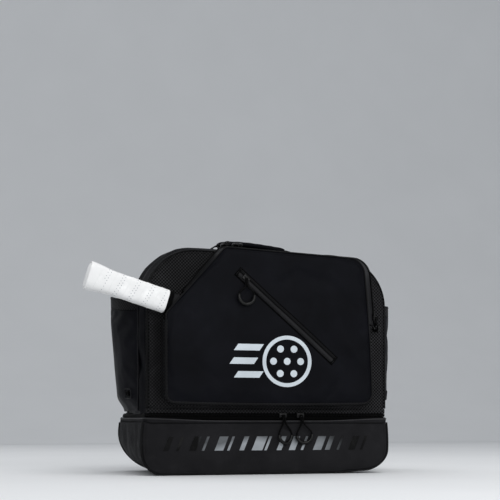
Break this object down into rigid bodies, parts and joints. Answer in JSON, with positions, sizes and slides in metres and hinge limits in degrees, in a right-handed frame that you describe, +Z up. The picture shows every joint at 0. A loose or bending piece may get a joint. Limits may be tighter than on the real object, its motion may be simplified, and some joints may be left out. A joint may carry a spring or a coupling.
{
  "type": "paddle case",
  "caption": "Backpack-style paddle case with a zipped front paddle pocket, clamshell main compartment, side pockets, straps and a lower shoe compartment.",
  "frame": {"origin": "centre of the bottom rest face of the shoe compartment", "axes": "+Z up, front with the paddle pocket facing -Y, +X to the viewer's right when looking at the front"},
  "size_m": [0.5291, 0.2861, 0.387],
  "materials": {
    "softshell": "matte coated softshell",
    "woven": "woven ballistic",
    "side_fabric": "satin twill",
    "tub_fabric": "coated nylon",
    "lining": "lining",
    "webbing": "ribbed webbing",
    "piping": "bound edge",
    "mesh": "air mesh",
    "zip": "coil zip",
    "slider": "black enamel",
    "cord": "braided cord with moulded end",
    "stiffener": "sheet plastic",
    "eyelet": "moulded rubber",
    "badge": "reflective transfer",
    "print": "gloss transfer",
    "grip": "perforated overgrip",
    "cap": "moulded",
    "paddle_face": "textured carbon face",
    "rubber": "smooth"
  },
  "bodies": {
    "shoe_compartment": {"tub_front": "tub_fabric", "tub_gusset": "tub_fabric", "tub_back": "tub_fabric", "tub_piping": "piping", "storm_band": "tub_fabric", "shoe_zip_lower": "zip", "base_board": "stiffener", "tub_print": "print"},
    "main_body": {"main_gusset": "side_fabric", "back_panel": "mesh", "frame_sheet": "stiffener", "floor_divider": "lining", "front_sill": "side_fabric", "shoe_zip_upper": "zip", "main_zip_rear": "zip", "side_pocket_left": "softshell", "side_pocket_right": "softshell", "side_band_left": "webbing", "side_band_right": "webbing", "pocket_eyelets": "eyelet", "back_pads": "mesh", "strap_yoke": "webbing", "strap_tabs": "webbing", "haul_tabs": "webbing", "strap_webbing_left": "webbing", "strap_webbing_right": "webbing"},
    "front_door": {"door_panel": "woven", "door_piping": "piping", "main_zip_front": "zip", "pocket_zip_rear": "zip", "flap_bellows": "softshell"},
    "paddle_pocket": {"flap_panel": "softshell", "flap_piping": "piping", "flap_gusset": "softshell", "pocket_zip_front": "zip", "welt_zip": "zip", "emblem": "badge"},
    "paddle": {"paddle_core": "paddle_face", "edge_guard": "rubber", "paddle_handle": "paddle_face", "grip_wrap": "grip", "butt_cap": "cap", "grip_collar": "rubber"},
    "haul_loop": {"haul_webbing": "webbing", "haul_grip": "webbing"},
    "left_strap": {"strap_left": "mesh"},
    "right_strap": {"strap_right": "mesh"},
    "shoe_slider_left_body": {"shoe_slider_left": "slider"},
    "shoe_slider_right_body": {"shoe_slider_right": "slider"},
    "shoe_pull_left_body": {"shoe_pull_left": "cord"},
    "shoe_pull_right_body": {"shoe_pull_right": "cord"},
    "main_slider_left_body": {"main_slider_left": "slider"},
    "main_slider_right_body": {"main_slider_right": "slider"},
    "main_pull_left_body": {"main_pull_left": "cord"},
    "main_pull_right_body": {"main_pull_right": "cord"},
    "pocket_slider_body": {"pocket_slider": "slider"},
    "pocket_pull_body": {"pocket_pull": "cord"},
    "welt_slider_body": {"welt_slider": "slider"},
    "welt_pull_body": {"welt_pull": "cord"}
  },
  "joints": [
    {"name": "body_tilt", "type": "hinge", "parent": "shoe_compartment", "child": "main_body", "pos_m": [0, 0.105, 0.0933], "axis": [-1, 0, 0], "range_deg": [0, 70]},
    {"name": "door_open", "type": "hinge", "parent": "main_body", "child": "front_door", "pos_m": [0, -0.105, 0.1045], "axis": [1, 0, 0], "range_deg": [0, 80]},
    {"name": "pocket_open", "type": "hinge", "parent": "front_door", "child": "paddle_pocket", "pos_m": [0, -0.108, 0.112], "axis": [-1, 0, 0], "range_deg": [-18, 0], "deforming": ["flap_bellows"]},
    {"name": "paddle_draw", "type": "slide", "parent": "front_door", "child": "paddle", "axis": [-0.9563, 0, 0.2924], "range_m": [0, 0.012]},
    {"name": "haul_flop", "type": "hinge", "parent": "main_body", "child": "haul_loop", "pos_m": [0, 0.006, 0.364], "axis": [1, 0, 0], "range_deg": [-30, 30]},
    {"name": "strap_left_swing", "type": "hinge", "parent": "main_body", "child": "left_strap", "pos_m": [-0.048, 0.08948, 0.33179], "axis": [1, 0, 0], "range_deg": [0, 15], "deforming": ["strap_webbing_left"]},
    {"name": "strap_right_swing", "type": "hinge", "parent": "main_body", "child": "right_strap", "pos_m": [0.048, 0.08948, 0.33179], "axis": [1, 0, 0], "range_deg": [0, 15], "deforming": ["strap_webbing_right"]},
    {"name": "shoe_zip_left", "type": "slide", "parent": "shoe_compartment", "child": "shoe_slider_left_body", "axis": [1, 0, 0], "range_m": [-0.18, 0]},
    {"name": "shoe_zip_right", "type": "slide", "parent": "shoe_compartment", "child": "shoe_slider_right_body", "axis": [1, 0, 0], "range_m": [0, 0.14]},
    {"name": "shoe_pull_left_swing", "type": "hinge", "parent": "shoe_slider_left_body", "child": "shoe_pull_left_body", "pos_m": [0.021, -0.1128, 0.0943], "axis": [1, 0, 0], "range_deg": [-90, 0]},
    {"name": "shoe_pull_right_swing", "type": "hinge", "parent": "shoe_slider_right_body", "child": "shoe_pull_right_body", "pos_m": [0.05, -0.1128, 0.0943], "axis": [1, 0, 0], "range_deg": [-90, 0]},
    {"name": "main_zip_left", "type": "slide", "parent": "main_body", "child": "main_slider_left_body", "axis": [1, 0, 0], "range_m": [-0.05, 0]},
    {"name": "main_zip_right", "type": "slide", "parent": "main_body", "child": "main_slider_right_body", "axis": [1, 0, 0], "range_m": [0, 0.155]},
    {"name": "main_pull_left_swing", "type": "hinge", "parent": "main_slider_left_body", "child": "main_pull_left_body", "pos_m": [-0.066, -0.0996, 0.359], "axis": [1, 0, 0], "range_deg": [0, 100]},
    {"name": "main_pull_right_swing", "type": "hinge", "parent": "main_slider_right_body", "child": "main_pull_right_body", "pos_m": [-0.046, -0.0996, 0.359], "axis": [1, 0, 0], "range_deg": [0, 100]},
    {"name": "pocket_zip", "type": "slide", "parent": "paddle_pocket", "child": "pocket_slider_body", "axis": [-0.0608, 0, 0.9982], "range_m": [0, 0.055]},
    {"name": "pocket_pull_swing", "type": "hinge", "parent": "pocket_slider_body", "child": "pocket_pull_body", "pos_m": [0.1776, -0.114, 0.252], "axis": [0, 1, 0], "range_deg": [-90, 0]},
    {"name": "welt_zip_slide", "type": "slide", "parent": "paddle_pocket", "child": "welt_slider_body", "axis": [0.7582, 0, -0.652], "range_m": [0, 0.172]},
    {"name": "welt_pull_swing", "type": "hinge", "parent": "welt_slider_body", "child": "welt_pull_body", "pos_m": [-0.04887, -0.1449, 0.30457], "axis": [1, 0, 0], "range_deg": [-90, 0]}
  ]
}
